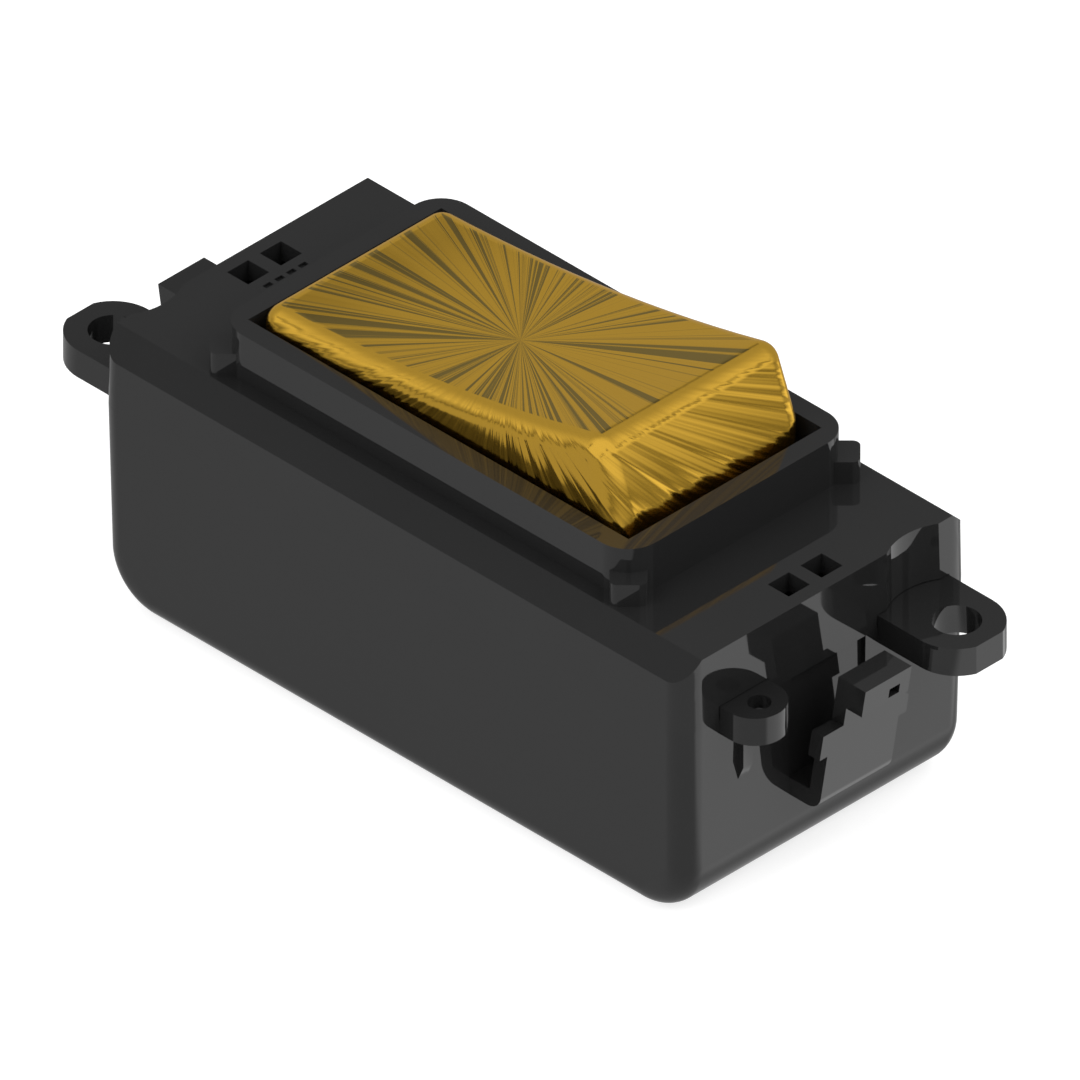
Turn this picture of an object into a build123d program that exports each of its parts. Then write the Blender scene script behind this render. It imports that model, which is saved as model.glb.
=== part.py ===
from build123d import *
import math
import os

# Wireless rocker switch module for a wall plate, powered by the press itself.
# Millimetres, +Z up. The origin is the middle of the flat back.
# X runs along the module and Y across it. The module is the same turned half round about Z.

# Housing shell
body_length = 50.0  # over the two ends, at the plate
body_width = 24.5  # over the two sides, at the plate, before its chamfers
plate_z = 19.5
split_z = 14.4
cover_flare = 0.73  # degrees, the cover widens downwards
case_draft = 1.0  # degrees, the case narrows downwards
wall = 1.0
floor_thickness = 1.2
plate_thickness = 1.4
side_edge_radius = 1.6
back_end_radius = 4.0
plate_chamfer = 1.53

# Clearances
fit_gap = 0.06  # between moulded pieces that locate each other
running_gap = 0.04  # radial, at every pivot
press_gap = 0.01  # radial, where a pin or pole piece is held tight

# Bezel, corner lugs, ports and index marks on the plate
opening_length = 32.5
opening_width = 16.5
bezel_wall = 1.4
bezel_height = 3.35
bezel_corner_radius = 2.25
lug_width = 2.3
lug_length = 2.2
lug_reach = 0.37  # past the square corner of the bezel, along the diagonal
lug_height = 1.6
lug_corner_radius = 0.5
port_size = 1.8
port_pitch = 2.8
mark_length = 0.62
mark_width = 0.36
mark_depth = 0.2
mark_pitch = 1.0
mark_count = 4
mark_from_bezel = 3.65

# Snap tongues that hold the cover on the case
tongue_thickness = 0.9
tongue_depth = 1.6
tongue_length = 13.0
tongue_x = 12.5
end_tongue_width = 6.0
end_tongue_y = 6.9
bead_radius = 0.25
bead_length = 9.0
bead_depth = 0.9

# Fixing ears
ear_drop = 4.15
ear_thickness = 2.0
ear_hole_x = 28.77
ear_hole_y = 7.28
ear_hole_radius = 1.55
ear_end_radius = 3.03
ear_reach = 31.58
screw_room_radius = 4.37
pilot_ear_y = 7.22
pilot_ear_hole_radius = 0.75
pilot_ear_end_radius = 2.05
pilot_ear_reach = 28.05
pilot_ear_tip = 1.65  # from the hole's axis to the tip
gusset_thickness = 0.8
gusset_reach = 0.38
gusset_drop = 9.3
gusset_run_out = 1.05

# Snap hooks on the end walls
hook_front_x = 28.91
hook_leaf_thickness = 1.0
hook_lean = 9.35  # degrees, outwards going up
hook_foot_drop = 13.87
hook_foot_thickness = 1.27
hook_foot_radius = 1.2
hook_nose_reach = 1.33
hook_nose_height = 2.02
hook_half_width_top = 1.97
hook_half_width_shoulder = 3.69
hook_half_width_foot = 3.04
hook_shoulder_top_drop = 7.54
hook_shoulder_bottom_drop = 9.47
hook_shoulder_chamfer = 0.55
hook_pocket_width = 0.9
hook_pocket_height = 0.7
hook_pocket_depth = 0.6
hook_pocket_y = 0.68
hook_pocket_drop = 5.45
hook_recess_half_width = 3.2
hook_recess_depth = 0.37

# Rocker
pivot_drop = 1.9
rocker_tilt = 8.5
rocker_top_height = 7.68
rocker_top_radius = 120.0
rocker_crest_gap = 1.6  # from the opening's end to the crest, before the cap is tipped
rocker_end_gap = 0.42
rocker_side_gap = 0.3
rocker_widest_height = 3.4
rocker_bottom_height = 1.2
rocker_corner_radius = 1.4
rocker_edge_radius = 1.35
cap_wall = 1.2
carrier_floor = 1.6
carrier_rib = 0.9
carrier_column_count = 4
carrier_row_count = 3
hub_radius = 2.0
pin_radius = 1.0
pin_length = 20.4
finger_reach = 3.0
finger_tip_radius = 0.7
finger_neck = 0.9
finger_width = 2.4
bearing_length = 4.6
bearing_drop = 2.4
bearing_mouth = 1.9

# Generator, a coil on a U core with a rocking magnet between the core's tips
pivot_spacing = 7.0
armature_y = -4.0
magnet_length = 6.0
magnet_width = 4.0
magnet_height = 3.8
pole_length = 21.6
pole_width = 5.0
pole_thickness = 1.0
frame_length = 9.2
cheek_thickness = 0.65
bridge_height = 0.6
fork_prong = 1.0
fork_prong_width = 3.0
fork_bridge_length = 1.4
fork_height = 4.8
trunnion_radius = 0.8
trunnion_length = 1.5
coil_y = 5.2
core_width = 3.0
core_thickness = 2.0
core_half_length = 13.2
core_leg = 1.5
core_tip_thickness = 1.1
core_tip_length = 2.3
core_tip_width = 4.4
bobbin_wall = 0.6
bobbin_half_length = 9.6
flange_size = 8.4
flange_thickness = 0.8
winding_size = 7.8
winding_corner_radius = 1.6
terminal_block_length = 1.5
terminal_block_height = 1.3
terminal_width = 0.6
terminal_pitch = 3.6
base_length = 35.6
base_side_room = 1.1  # to the case wall on either side
base_thickness = 1.0
base_window_half_length = 11.4
base_window_margin = 0.65
coil_window_half_length = 8.4
coil_window_width = 7.2
trunnion_post_length = 4.0
trunnion_post_thickness = 1.4
trunnion_post_top = 1.6
core_rest_length = 1.9
core_rest_margin = 0.2

# Circuit board and what stands on it
board_end_room = 1.25  # to the end wall
board_side_room = 1.9  # to the side wall
board_thickness = 0.8
board_z = 2.4
board_corner_chamfer = 1.0
post_from_end = 1.9  # from the end of the generator base to the post's axis
post_from_side = 2.0  # from its side
post_width = 3.4
post_shoulder = 4.6
peg_radius = 0.8
peg_height = 0.5
screw_radius = 0.7
screw_head_radius = 1.45
screw_head_height = 0.9
screw_length = 4.2
screw_slot = 0.35
screw_slot_depth = 0.45
chip_size = 5.0
chip_height = 0.9
crystal_length = 3.2
crystal_width = 2.5
crystal_height = 0.7
rectifier_length = 4.7
rectifier_width = 3.9
rectifier_height = 1.4
choke_size = 4.0
choke_height = 1.6
capacitor_radius = 2.2
capacitor_height = 7.5
antenna_wire_radius = 0.3
antenna_length = 14.0
antenna_height = 4.2
antenna_bend = 1.0  # off both runs at a bend

# Places that follow from the sizes above
flare_slope = math.tan(math.radians(cover_flare))
draft_slope = math.tan(math.radians(case_draft))
split_length = body_length + 2 * (plate_z - split_z) * flare_slope
split_width = body_width + 2 * (plate_z - split_z) * flare_slope
plate_under_z = plate_z - plate_thickness
bezel_length = opening_length + 2 * bezel_wall
bezel_width = opening_width + 2 * bezel_wall
rocker_crest_x = opening_length / 2 - rocker_crest_gap
ear_top_z = plate_z - ear_drop
pilot_ear_hole_x = pilot_ear_reach - pilot_ear_tip
pivot_z = plate_z - pivot_drop
armature_z = pivot_z - pivot_spacing
fork_reach = pivot_spacing - finger_reach
armature_tilt = rocker_tilt * finger_reach / fork_reach
frame_width = pole_width + 2 * fit_gap + 2 * cheek_thickness
frame_height = magnet_height + 2 * pole_thickness
base_top_z = armature_z - flange_size / 2
base_z = base_top_z - base_thickness
board_top_z = board_z + board_thickness
inner_length = split_length - 2 * wall
inner_width = split_width - 2 * wall
base_width = inner_width - 2 * base_side_room
board_length = inner_length - 2 * board_end_room
board_width = inner_width - 2 * board_side_room
post_x = base_length / 2 - post_from_end
post_y = base_width / 2 - post_from_side
post_notch = post_width + 4 * fit_gap
slack = 1.0  # how far cutting tools run past what they cut


def tilted_plane(origin, degrees):
    """Level plane turned about its own Y, with its +X side up for positive degrees."""
    turn = math.radians(degrees)
    return Plane(
        origin=origin,
        x_dir=(math.cos(turn), 0, math.sin(turn)),
        z_dir=(-math.sin(turn), 0, math.cos(turn)),
    )


def side_plane(level):
    """Upright plane through a level plane's origin, with the same X, seen from the -Y side."""
    return Plane(origin=level.origin, x_dir=level.x_dir, z_dir=-level.y_dir)


rocker_level = tilted_plane((0, 0, pivot_z), rocker_tilt)
rocker_side = side_plane(rocker_level)
armature_level = tilted_plane((0, armature_y, armature_z), -armature_tilt)
armature_side = side_plane(armature_level)


# Shell blocks
def plate_edge_wedges(inset):
    """Prisms that take off both long top edges at 45 degrees, moved in by inset."""
    reach = plate_chamfer + inset * (2 - math.sqrt(2)) + slack
    with BuildPart() as wedges:
        with BuildSketch(Plane.YZ):
            for side in (-1, 1):
                corner_y = body_width / 2 - inset
                corner_z = plate_z - inset
                with BuildLine():
                    Polyline(
                        (side * (corner_y - reach), corner_z + slack),
                        (side * (corner_y + slack), corner_z + slack),
                        (side * (corner_y + slack), corner_z - reach),
                        close=True,
                    )
                make_face()
        extrude(amount=body_length, both=True)
    return wedges.part


def cover_block(inset, top_z, edge_radius):
    """Block that flares downwards to the split, pulled in by inset on its four sides."""
    with BuildPart() as block:
        with BuildSketch(Plane.XY.offset(split_z)) as outline:
            Rectangle(split_length - 2 * inset, split_width - 2 * inset)
            if edge_radius > 0:
                fillet(outline.vertices(), edge_radius)
        extrude(amount=top_z - split_z, taper=cover_flare)
        add(plate_edge_wedges(inset), mode=Mode.SUBTRACT)
    return block.part


def drafted_profile(half_at_split, low_z):
    """Closed outline of a drafted block, from the split down to low_z."""
    half_low = half_at_split - (split_z - low_z) * draft_slope
    Polyline(
        (-half_at_split, split_z),
        (half_at_split, split_z),
        (half_low, low_z),
        (-half_low, low_z),
        close=True,
    )


def case_block(inset, low_z, edge_radius):
    """Block that narrows from the split down to low_z, with its back ends rounded."""
    with BuildPart() as block:
        with BuildSketch(Plane.XZ) as lengthways:
            with BuildLine():
                drafted_profile(split_length / 2 - inset, low_z)
            make_face()
            fillet(lengthways.vertices().group_by(Axis.Y)[0], back_end_radius - low_z)
        extrude(amount=split_width, both=True)
        with BuildSketch(Plane.YZ):
            with BuildLine():
                drafted_profile(split_width / 2 - inset, low_z)
            make_face()
        extrude(amount=split_length, both=True, mode=Mode.INTERSECT)
        if edge_radius > 0:
            sides = block.faces().sort_by(Axis.Y)
            outline = sides[0].edges() + sides[-1].edges()
            fillet(outline.filter_by(lambda edge: edge.center().Z < split_z - fit_gap), edge_radius)
    return block.part


# Fittings on the +X end wall; the -X end has the same ones turned half round
def fixing_ear(width, hole_y, centre_x, reach):
    """Flat ear with a round end, rooted in the end wall."""
    root_x = split_length / 2 - wall
    with BuildPart() as ear:
        with BuildSketch(Plane.XY.offset(ear_top_z - ear_thickness)):
            with Locations(((root_x + centre_x) / 2, hole_y)):
                Rectangle(centre_x - root_x, width)
            with Locations((centre_x, hole_y)):
                Circle(width / 2)
            with Locations((reach + width / 2, hole_y), (root_x - width / 2, hole_y)):
                Rectangle(width, width + slack, mode=Mode.SUBTRACT)
        extrude(amount=ear_thickness)
    return ear.part


def pilot_gusset():
    """Slim rib under the pilot ear, run out into the wall at its foot."""
    root_x = split_length / 2 - wall / 2
    front_x = split_length / 2 + gusset_reach
    bend_z = plate_z - gusset_drop
    with BuildPart() as rib:
        with BuildSketch(Plane.XZ.offset(pilot_ear_y - gusset_thickness / 2)):
            with BuildLine():
                Polyline(
                    (root_x, ear_top_z - ear_thickness),
                    (front_x, ear_top_z - ear_thickness),
                    (front_x, bend_z),
                    (split_length / 2 - (split_z - bend_z) * draft_slope, bend_z - gusset_run_out),
                    (root_x, bend_z - gusset_run_out),
                    close=True,
                )
            make_face()
        extrude(amount=gusset_thickness)
    return rib.part


def snap_hook():
    """Springy hook: a leaf that leans out from a foot on the wall, with a nose at its top."""
    lean = math.tan(math.radians(hook_lean))
    root_x = split_length / 2 - wall / 2
    foot_z = plate_z - hook_foot_drop
    foot_top_z = foot_z + hook_foot_thickness
    nose_low_z = ear_top_z - hook_nose_height
    foot_front_x = hook_front_x - (ear_top_z - foot_z) * lean
    foot_back_x = hook_front_x - hook_leaf_thickness - (ear_top_z - foot_top_z) * lean
    nose_x = hook_front_x + hook_nose_reach
    nose_low_x = nose_x - hook_nose_height * lean
    with BuildPart() as hook:
        with BuildSketch(Plane.XZ) as profile:
            with BuildLine():
                Polyline(
                    (root_x, foot_z),
                    (foot_front_x, foot_z),
                    (hook_front_x - hook_nose_height * lean, nose_low_z),
                    (nose_low_x, nose_low_z),
                    (nose_x, ear_top_z),
                    (hook_front_x - hook_leaf_thickness, ear_top_z),
                    (foot_back_x, foot_top_z),
                    (root_x, foot_top_z),
                    close=True,
                )
            make_face()
            fillet(profile.vertices().group_by(Axis.Y)[0].sort_by(Axis.X)[-1], hook_foot_radius)
        extrude(amount=hook_half_width_shoulder, both=True)
        with BuildSketch(Plane.YZ):
            with BuildLine():
                shoulder_top_z = plate_z - hook_shoulder_top_drop
                shoulder_low_z = plate_z - hook_shoulder_bottom_drop
                Polyline(
                    (-hook_half_width_foot, foot_z - slack),
                    (hook_half_width_foot, foot_z - slack),
                    (hook_half_width_foot, shoulder_low_z),
                    (hook_half_width_shoulder, shoulder_low_z),
                    (hook_half_width_shoulder, shoulder_top_z - hook_shoulder_chamfer),
                    (hook_half_width_shoulder - hook_shoulder_chamfer, shoulder_top_z),
                    (hook_half_width_top, shoulder_top_z),
                    (hook_half_width_top, ear_top_z + slack),
                    (-hook_half_width_top, ear_top_z + slack),
                    (-hook_half_width_top, shoulder_top_z),
                    (-hook_half_width_shoulder, shoulder_top_z),
                    (-hook_half_width_shoulder, shoulder_low_z),
                    (-hook_half_width_foot, shoulder_low_z),
                    close=True,
                )
            make_face()
        extrude(amount=body_length, mode=Mode.INTERSECT)
        with BuildSketch(Plane.YZ.offset(nose_low_x - hook_pocket_depth)):
            with Locations((hook_pocket_y, plate_z - hook_pocket_drop)):
                Rectangle(hook_pocket_width, hook_pocket_height)
        extrude(amount=body_length, mode=Mode.SUBTRACT)
    return hook.part


large_ear = fixing_ear(2 * ear_end_radius, ear_hole_y, ear_hole_x, ear_reach)
pilot_ear = fixing_ear(
    2 * pilot_ear_end_radius, -pilot_ear_y, pilot_ear_reach - pilot_ear_end_radius, pilot_ear_reach
)
end_gusset = pilot_gusset()
end_hook = snap_hook()
half_turns = (0, 180)


# Rear housing: the case with its ears, hooks and the posts for the board and generator
with BuildPart() as rear_housing:
    add(case_block(0, 0, side_edge_radius))
    add(case_block(wall, floor_thickness, 0), mode=Mode.SUBTRACT)
    with BuildSketch(Plane.XY.offset(plate_z - hook_foot_drop + hook_foot_thickness)):
        for end in (-1, 1):
            with Locations((end * (split_length / 2 - hook_recess_depth + slack), 0)):
                Rectangle(2 * slack, 2 * hook_recess_half_width)
    extrude(until=Until.LAST, mode=Mode.SUBTRACT)
    for turn in half_turns:
        for fitting in (large_ear, pilot_ear, end_gusset, end_hook):
            add(fitting, rotation=(0, 0, turn))
    with BuildSketch(Plane.XY.offset(ear_top_z)):
        with Locations((ear_hole_x, ear_hole_y), (-ear_hole_x, -ear_hole_y)):
            Circle(ear_hole_radius)
        with Locations((pilot_ear_hole_x, -pilot_ear_y), (-pilot_ear_hole_x, pilot_ear_y)):
            Circle(pilot_ear_hole_radius)
    extrude(amount=-ear_thickness, mode=Mode.SUBTRACT)
    with BuildSketch(Plane.XY.offset(floor_thickness)):
        with GridLocations(2 * post_x, 2 * post_y, 2, 2):
            Rectangle(post_shoulder, post_shoulder)
    extrude(amount=board_z - floor_thickness)
    with BuildSketch(Plane.XY.offset(floor_thickness)):
        with GridLocations(2 * post_x, 2 * post_y, 2, 2):
            Rectangle(post_width, post_width)
    extrude(amount=base_z - floor_thickness)
    with BuildSketch(Plane.XY.offset(base_z)):
        with Locations((post_x, -post_y), (-post_x, post_y)):
            Circle(peg_radius)
    extrude(amount=base_thickness + peg_height)
    with BuildSketch(Plane.XY.offset(base_z)):
        with Locations((post_x, post_y), (-post_x, -post_y)):
            Circle(screw_radius + running_gap)
    extrude(amount=-screw_length, mode=Mode.SUBTRACT)
    for side in (-1, 1):
        for x in (-tongue_x, tongue_x):
            groove_y = side * (inner_width / 2 - fit_gap)
            with Locations((x, groove_y, split_z - bead_depth)):
                Cylinder(
                    bead_radius + fit_gap,
                    bead_length + 2 * fit_gap,
                    rotation=(0, 90, 0),
                    mode=Mode.SUBTRACT,
                )


# Front cover: plate, skirt, bezel with corner lugs, rocker bearings and snap tongues
with BuildPart() as front_cover:
    add(cover_block(0, plate_z, side_edge_radius))
    add(cover_block(wall, plate_under_z, 0), mode=Mode.SUBTRACT)
    with BuildSketch(Plane.XY.offset(plate_z)):
        RectangleRounded(bezel_length, bezel_width, bezel_corner_radius)
    extrude(amount=bezel_height)
    diagonal = (lug_reach - lug_length / 2) / math.sqrt(2)
    with BuildSketch(Plane.XY.offset(plate_z)):
        for sx in (-1, 1):
            for sy in (-1, 1):
                lug_x = sx * (bezel_length / 2 + diagonal)
                lug_y = sy * (bezel_width / 2 + diagonal)
                with Locations(Location((lug_x, lug_y, 0), (0, 0, 45 * sx * sy))):
                    RectangleRounded(lug_length, lug_width, lug_corner_radius)
    extrude(amount=lug_height)
    with BuildSketch(Plane.XY.offset(split_z)):
        with GridLocations(2 * tongue_x, inner_width - tongue_thickness - fit_gap, 2, 2):
            Rectangle(tongue_length, tongue_thickness + fit_gap)
        with GridLocations(inner_length - tongue_thickness - fit_gap, 2 * end_tongue_y, 2, 2):
            Rectangle(tongue_thickness + fit_gap, end_tongue_width)
    extrude(amount=plate_under_z - split_z)
    with BuildSketch(Plane.XY.offset(split_z)):
        with GridLocations(2 * tongue_x, inner_width - tongue_thickness - 2 * fit_gap, 2, 2):
            Rectangle(tongue_length, tongue_thickness)
        with GridLocations(inner_length - tongue_thickness - 2 * fit_gap, 2 * end_tongue_y, 2, 2):
            Rectangle(tongue_thickness, end_tongue_width)
    extrude(amount=-tongue_depth)
    for side in (-1, 1):
        for x in (-tongue_x, tongue_x):
            bead_y = side * (inner_width / 2 - fit_gap)
            with Locations((x, bead_y, split_z - bead_depth)):
                Cylinder(bead_radius, bead_length, rotation=(0, 90, 0))
    bearing_depth = inner_width / 2 + wall / 2 - opening_width / 2
    for side in (-1, 1):
        bearing_y = side * (opening_width / 2 + bearing_depth / 2)
        with Locations((0, bearing_y, plate_under_z)):
            Box(
                bearing_length,
                bearing_depth,
                bearing_drop,
                align=(Align.CENTER, Align.CENTER, Align.MAX),
            )
    with BuildSketch(Plane.XY.offset(plate_z - plate_thickness - bearing_drop)):
        Rectangle(opening_length, opening_width)
    extrude(amount=plate_thickness + bearing_drop + bezel_height + slack, mode=Mode.SUBTRACT)
    with Locations((0, 0, pivot_z)):
        Cylinder(
            pin_radius + running_gap,
            pin_length + 4 * fit_gap,
            rotation=(90, 0, 0),
            mode=Mode.SUBTRACT,
        )
        Box(
            bearing_mouth,
            pin_length + 4 * fit_gap,
            bearing_drop + slack,
            align=(Align.CENTER, Align.CENTER, Align.MAX),
            mode=Mode.SUBTRACT,
        )
    with BuildSketch(Plane.XY.offset(plate_z)):
        with GridLocations(body_length - 2 * wall - port_size, port_pitch, 2, 2):
            Rectangle(port_size, port_size)
    extrude(amount=-plate_thickness, mode=Mode.SUBTRACT)
    with BuildSketch(Plane.XY.offset(plate_z)):
        with Locations((-bezel_length / 2 - mark_from_bezel, 0)):
            with GridLocations(0, mark_pitch, 1, mark_count):
                Rectangle(mark_width, mark_length)
    extrude(amount=-mark_depth, mode=Mode.SUBTRACT)
    with BuildSketch(Plane.XY.offset(split_z)):
        notch_x = split_length / 2
        with Locations((notch_x, ear_hole_y), (-notch_x, -ear_hole_y)):
            Rectangle(2 * (wall + fit_gap), 2 * (ear_end_radius + fit_gap))
        with Locations((notch_x, -pilot_ear_y), (-notch_x, pilot_ear_y)):
            Rectangle(2 * (wall + fit_gap), 2 * (pilot_ear_end_radius + fit_gap))
    extrude(amount=ear_top_z + fit_gap - split_z, mode=Mode.SUBTRACT)
    with BuildSketch(Plane.XY.offset(ear_top_z)):
        with Locations((ear_hole_x, ear_hole_y), (-ear_hole_x, -ear_hole_y)):
            Circle(screw_room_radius)
    extrude(amount=ear_drop + slack, mode=Mode.SUBTRACT)


# Rocker: a dished gold cap on a ribbed carrier that turns with its steel pin
def rocker_half_length(height):
    """Half the rocker's length at a height over the pivot."""
    widest_x = opening_length / 2 - rocker_end_gap
    crest_height = rocker_top_height + rocker_crest_x**2 / (2 * rocker_top_radius)
    if height < rocker_widest_height:
        return widest_x - (rocker_widest_height - height) * math.tan(math.radians(rocker_tilt))
    share = (height - rocker_widest_height) / (crest_height - rocker_widest_height)
    return widest_x + (rocker_crest_x - widest_x) * share


def rocker_block(inset, low):
    """Solid rocker with a dished top, pulled in by inset, from a low height upwards."""
    half_width = opening_width / 2 - rocker_side_gap - inset
    crest_height = rocker_top_height + rocker_crest_x**2 / (2 * rocker_top_radius) + slack
    with BuildPart() as block:
        with BuildSketch(rocker_side):
            with BuildLine():
                right_side = [
                    (rocker_half_length(height) - inset, height)
                    for height in (low, rocker_widest_height, crest_height)
                ]
                left_side = [(-x, height) for x, height in reversed(right_side)]
                Polyline(*right_side, *left_side, close=True)
            make_face()
            with Locations((0, rocker_top_height + rocker_top_radius)):
                Circle(rocker_top_radius + inset, mode=Mode.SUBTRACT)
        extrude(amount=half_width, both=True)
        if inset == 0:
            lines = block.edges().filter_by(GeomType.LINE)
            up = rocker_level.z_dir
            fillet(lines.filter_by(lambda edge: abs(edge.tangent_at(0).dot(up)) > 0.5), rocker_corner_radius)
            dish = block.faces().filter_by(GeomType.CYLINDER).sort_by(SortBy.RADIUS)[-1]
            fillet(dish.edges(), rocker_edge_radius)
    return block.part


with BuildPart() as rocker_cap:
    add(rocker_block(0, rocker_bottom_height))
    add(rocker_block(cap_wall, rocker_bottom_height - slack), mode=Mode.SUBTRACT)

with BuildPart() as rocker_carrier:
    add(rocker_block(cap_wall + fit_gap, rocker_bottom_height))
    carrier_length = 2 * (rocker_half_length(rocker_bottom_height) - cap_wall - fit_gap)
    carrier_width = opening_width - 2 * (rocker_side_gap + cap_wall + fit_gap)
    pocket_x = (carrier_length - 3 * carrier_rib) / carrier_column_count
    pocket_y = (carrier_width - carrier_rib) / carrier_row_count
    with BuildSketch(rocker_level.offset(rocker_bottom_height + carrier_floor)):
        with GridLocations(pocket_x, pocket_y, carrier_column_count, carrier_row_count):
            Rectangle(pocket_x - carrier_rib, pocket_y - carrier_rib)
    extrude(amount=rocker_top_height, mode=Mode.SUBTRACT)
    with BuildSketch(rocker_side):
        Circle(hub_radius)
    extrude(amount=carrier_width / 2, both=True)
    with BuildSketch(rocker_side.offset(-armature_y)):
        with Locations((0, -finger_reach)):
            Circle(finger_tip_radius)
        with Locations((0, -finger_reach / 2)):
            Rectangle(finger_neck, finger_reach)
    extrude(amount=finger_width / 2, both=True)
    with BuildSketch(rocker_side):
        Circle(pin_radius + press_gap)
    extrude(amount=carrier_width, both=True, mode=Mode.SUBTRACT)

with BuildPart() as pivot_pin:
    with BuildSketch(rocker_side):
        Circle(pin_radius)
    extrude(amount=pin_length / 2, both=True)
    chamfer(pivot_pin.edges().filter_by(GeomType.CIRCLE), pin_radius / 4)


# Armature: the magnet between two pole plates in a moulded frame with a fork on top
with BuildPart() as armature_frame:
    with BuildSketch(armature_side):
        Rectangle(frame_length, frame_height)
        for side in (-1, 1):
            bridge_x = side * (finger_tip_radius + running_gap + fork_bridge_length / 2)
            with Locations((bridge_x, frame_height / 2 + bridge_height / 2)):
                Rectangle(fork_bridge_length, bridge_height)
            with Locations((side * (frame_length - fork_prong) / 2, -frame_height / 2 - bridge_height / 2)):
                Rectangle(fork_prong, bridge_height)
    extrude(amount=frame_width / 2, both=True)
    with BuildSketch(armature_side):
        for side in (-1, 1):
            with Locations((0, side * (magnet_height + pole_thickness) / 2)):
                Rectangle(frame_length + slack, pole_thickness)
    extrude(amount=pole_width / 2 + fit_gap, both=True, mode=Mode.SUBTRACT)
    with BuildSketch(armature_level):
        Rectangle(magnet_length + 2 * press_gap, magnet_width + 2 * press_gap)
    extrude(amount=magnet_height / 2, both=True, mode=Mode.SUBTRACT)
    with BuildSketch(armature_side):
        for side in (-1, 1):
            prong_x = side * (finger_tip_radius + running_gap + fork_prong / 2)
            prong_low = frame_height / 2
            with Locations((prong_x, (prong_low + fork_height) / 2)):
                Rectangle(fork_prong, fork_height - prong_low)
    extrude(amount=fork_prong_width / 2, both=True)
    with BuildSketch(armature_side):
        Circle(trunnion_radius)
    extrude(amount=frame_width / 2 + trunnion_length, both=True, mode=Mode.ADD)
    with BuildSketch(armature_level):
        Rectangle(magnet_length + 2 * press_gap, magnet_width + 2 * press_gap)
    extrude(amount=magnet_height / 2, both=True, mode=Mode.SUBTRACT)

with BuildPart() as armature_magnet:
    with BuildSketch(armature_level):
        Rectangle(magnet_length, magnet_width)
    extrude(amount=magnet_height / 2, both=True)


def pole_plate(side):
    """Soft iron plate on the magnet's upper or lower face."""
    with BuildPart() as plate:
        with BuildSketch(armature_level.offset(side * magnet_height / 2)):
            RectangleRounded(pole_length, pole_width, pole_thickness / 2)
        extrude(amount=side * pole_thickness)
    return plate


upper_pole_plate = pole_plate(1)
lower_pole_plate = pole_plate(-1)


# Coil: two L-shaped core halves meet inside the bobbin
def core_half(side):
    """One leg of the core: half the bar, the arm and the tip between the pole plates."""
    arm_x = side * (core_half_length - core_leg / 2)
    tip_x = side * (core_half_length - core_leg - core_tip_length / 2)
    arm_low_y = armature_y - core_tip_width / 2
    arm_high_y = coil_y + core_width / 2
    with BuildPart() as half:
        with BuildSketch(Plane.XY.offset(armature_z)):
            with Locations((side * core_half_length / 2, coil_y)):
                Rectangle(core_half_length, core_width)
            with Locations((arm_x, (arm_low_y + arm_high_y) / 2)):
                Rectangle(core_leg, arm_high_y - arm_low_y)
        extrude(amount=core_thickness / 2, both=True)
        with BuildSketch(Plane.XY.offset(armature_z)):
            with Locations((tip_x, armature_y)):
                Rectangle(core_tip_length, core_tip_width)
        extrude(amount=core_tip_thickness / 2, both=True)
    return half


left_core_leg = core_half(-1)
right_core_leg = core_half(1)
coil_axis = Plane(origin=(0, coil_y, armature_z), x_dir=(0, 1, 0), z_dir=(1, 0, 0))
tube_width = core_width + 2 * (fit_gap + bobbin_wall)
tube_height = core_thickness + 2 * (fit_gap + bobbin_wall)
terminal_x = -(bobbin_half_length + terminal_block_length / 2)

with BuildPart() as coil_bobbin:
    with BuildSketch(coil_axis):
        Rectangle(tube_width, tube_height)
    extrude(amount=bobbin_half_length, both=True)
    for side in (-1, 1):
        with BuildSketch(coil_axis.offset(side * bobbin_half_length)):
            chamfer(Rectangle(flange_size, flange_size).vertices(), flange_thickness)
        extrude(amount=-side * flange_thickness)
    with BuildSketch(Plane.XY.offset(base_top_z)):
        with Locations((terminal_x, coil_y)):
            Rectangle(terminal_block_length, flange_size - 2 * flange_thickness)
    extrude(amount=terminal_block_height)
    with BuildSketch(coil_axis):
        Rectangle(core_width + 2 * fit_gap, core_thickness + 2 * fit_gap)
    extrude(amount=core_half_length, both=True, mode=Mode.SUBTRACT)
    with BuildSketch(Plane.XY.offset(base_top_z)):
        with Locations((terminal_x, coil_y)):
            with GridLocations(0, terminal_pitch, 1, 2):
                Rectangle(terminal_width + 2 * press_gap, terminal_width + 2 * press_gap)
    extrude(amount=terminal_block_height, mode=Mode.SUBTRACT)

with BuildPart() as coil_winding:
    with BuildSketch(coil_axis):
        RectangleRounded(winding_size, winding_size, winding_corner_radius)
        Rectangle(tube_width + 2 * press_gap, tube_height + 2 * press_gap, mode=Mode.SUBTRACT)
    extrude(amount=bobbin_half_length - flange_thickness - press_gap, both=True)

with BuildPart() as coil_terminals:
    with BuildSketch(Plane.XY.offset(board_z - terminal_width / 2)):
        with Locations((terminal_x, coil_y)):
            with GridLocations(0, terminal_pitch, 1, 2):
                Rectangle(terminal_width, terminal_width)
    extrude(amount=base_top_z + terminal_block_height - board_z + terminal_width)

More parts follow.
